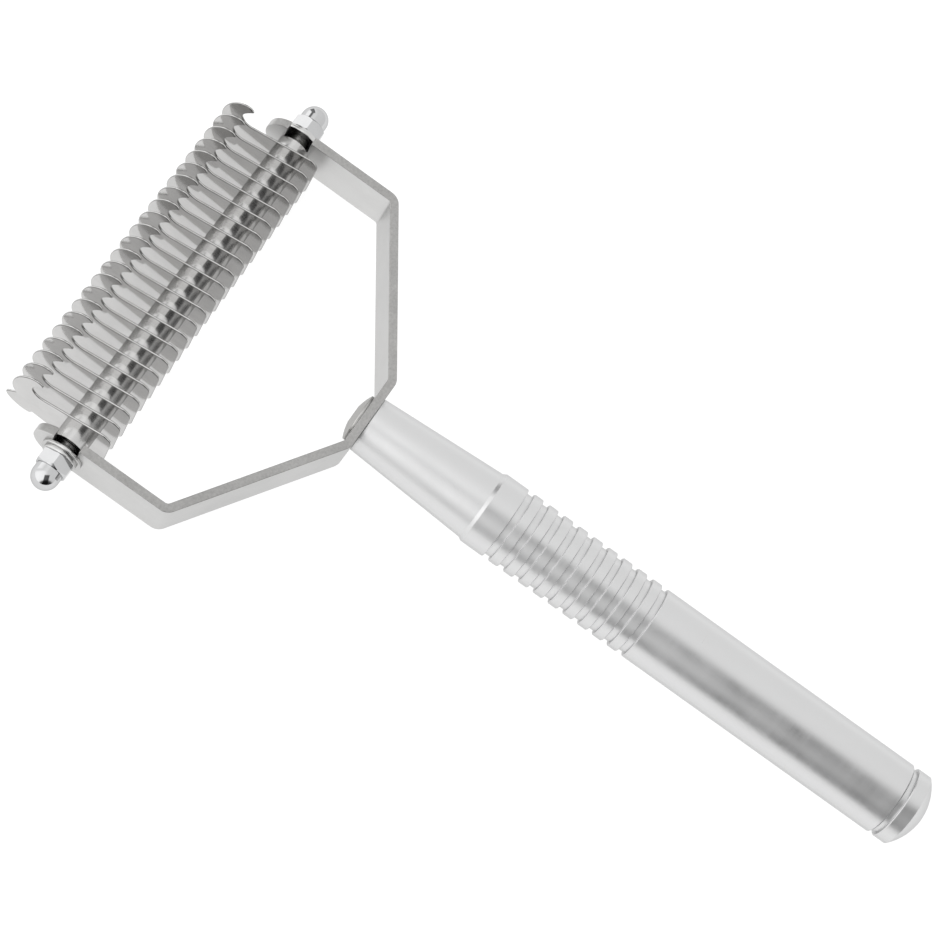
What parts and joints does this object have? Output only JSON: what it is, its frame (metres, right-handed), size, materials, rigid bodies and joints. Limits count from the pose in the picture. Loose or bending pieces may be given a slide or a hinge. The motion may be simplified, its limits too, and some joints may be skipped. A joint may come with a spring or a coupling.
{
  "type": "undercoat rake",
  "caption": "Hand-held grooming rake: a turned metal handle, a bent strip yoke and a pack of thin hooked blades on a threaded stud.",
  "frame": {"origin": "on the handle's axis at the middle of the smooth grip", "axes": "+X along the handle toward the blades, +Y toward the left end of the stud, +Z toward the blades' hook tips"},
  "size_m": [0.2439, 0.124, 0.0233],
  "materials": {
    "handle_aluminium": "satin",
    "yoke_steel": "satin",
    "screw_steel": "satin",
    "stud_steel": "machined",
    "blade_steel": "polished",
    "spacer_steel": "polished",
    "washer_steel": "bright",
    "nut_chrome": "polished"
  },
  "bodies": {
    "tool": {"handle": "handle_aluminium", "yoke": "yoke_steel", "yoke_screw": "screw_steel"},
    "stud": {"axle_stud": "stud_steel"},
    "blade_pack": {"blade_01": "blade_steel", "blade_02": "blade_steel", "blade_03": "blade_steel", "blade_04": "blade_steel", "blade_05": "blade_steel", "blade_06": "blade_steel", "blade_07": "blade_steel", "blade_08": "blade_steel", "blade_09": "blade_steel", "blade_10": "blade_steel", "blade_11": "blade_steel", "blade_12": "blade_steel", "blade_13": "blade_steel", "blade_14": "blade_steel", "blade_15": "blade_steel", "blade_16": "blade_steel", "blade_17": "blade_steel", "blade_18": "blade_steel", "blade_19": "blade_steel", "blade_20": "blade_steel", "blade_21": "blade_steel", "blade_22": "blade_steel", "blade_23": "blade_steel", "spacer_01": "spacer_steel", "spacer_02": "spacer_steel", "spacer_03": "spacer_steel", "spacer_04": "spacer_steel", "spacer_05": "spacer_steel", "spacer_06": "spacer_steel", "spacer_07": "spacer_steel", "spacer_08": "spacer_steel", "spacer_09": "spacer_steel", "spacer_10": "spacer_steel", "spacer_11": "spacer_steel", "spacer_12": "spacer_steel", "spacer_13": "spacer_steel", "spacer_14": "spacer_steel", "spacer_15": "spacer_steel", "spacer_16": "spacer_steel", "spacer_17": "spacer_steel", "spacer_18": "spacer_steel", "spacer_19": "spacer_steel", "spacer_20": "spacer_steel", "spacer_21": "spacer_steel", "spacer_22": "spacer_steel", "end_spacer_left": "spacer_steel", "end_spacer_right": "spacer_steel"},
    "washers_left": {"flat_washer_left": "washer_steel", "spring_washer_left": "washer_steel"},
    "nut_left": {"acorn_nut_left": "nut_chrome"},
    "washers_right": {"flat_washer_right": "washer_steel", "spring_washer_right": "washer_steel"},
    "nut_right": {"acorn_nut_right": "nut_chrome"}
  },
  "joints": [
    {"name": "stud_lift", "type": "slide", "parent": "tool", "child": "stud", "axis": [0, 0, 1], "range_m": [0, 0.03]},
    {"name": "blade_pack_turn", "type": "hinge", "parent": "stud", "child": "blade_pack", "pos_m": [0.177, 0, 0], "axis": [0, 1, 0], "continuous": true},
    {"name": "washers_left_slide", "type": "slide", "parent": "stud", "child": "washers_left", "axis": [0, 1, 0], "range_m": [0, 0.002]},
    {"name": "nut_left_spin", "type": "hinge", "parent": "washers_left", "child": "nut_left", "pos_m": [0.177, 0.054, 0], "axis": [0, 1, 0], "range_deg": [0, 900]},
    {"name": "washers_right_slide", "type": "slide", "parent": "stud", "child": "washers_right", "axis": [0, -1, 0], "range_m": [0, 0.002]},
    {"name": "nut_right_spin", "type": "hinge", "parent": "washers_right", "child": "nut_right", "pos_m": [0.177, -0.054, 0], "axis": [0, -1, 0], "range_deg": [0, 900]}
  ],
  "couplings": [
    {"joint": "nut_left_spin", "follows": "washers_left_slide", "rad_per_m": 7853.9},
    {"joint": "nut_right_spin", "follows": "washers_right_slide", "rad_per_m": 7853.9}
  ]
}
